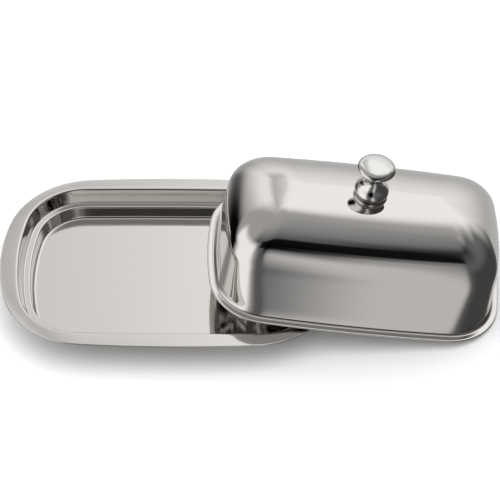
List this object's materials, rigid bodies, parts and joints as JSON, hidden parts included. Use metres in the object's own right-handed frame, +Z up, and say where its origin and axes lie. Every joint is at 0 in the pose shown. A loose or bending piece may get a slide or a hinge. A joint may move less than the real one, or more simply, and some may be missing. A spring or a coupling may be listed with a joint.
{
  "type": "butter dish",
  "caption": "Stainless steel butter dish: oval tray with a wide rim and stepped recess, and a loose arched lid with a mushroom knob, leaning on the tray's end.",
  "frame": {"origin": "centre of the tray's underside, where it rests on the table", "axes": "+X along the tray's length, towards the lid; +Y across the tray; +Z up"},
  "size_m": [0.2763, 0.128, 0.0936],
  "materials": {
    "tray_steel": "polished stainless steel",
    "lid_steel": "mirror-polished stainless steel",
    "knob_steel": "mirror-polished stainless steel",
    "screw_steel": "plain stainless steel",
    "washer_steel": "plain stainless steel"
  },
  "bodies": {
    "tray": {"tray": "tray_steel"},
    "lid": {"lid_shell": "lid_steel", "knob": "knob_steel", "knob_screw": "screw_steel", "knob_washer": "washer_steel"}
  },
  "joints": [
    {"name": "lid_lift", "type": "slide", "parent": "tray", "child": "lid", "axis": [0, 0, 1], "range_m": [0, 0.1]}
  ]
}
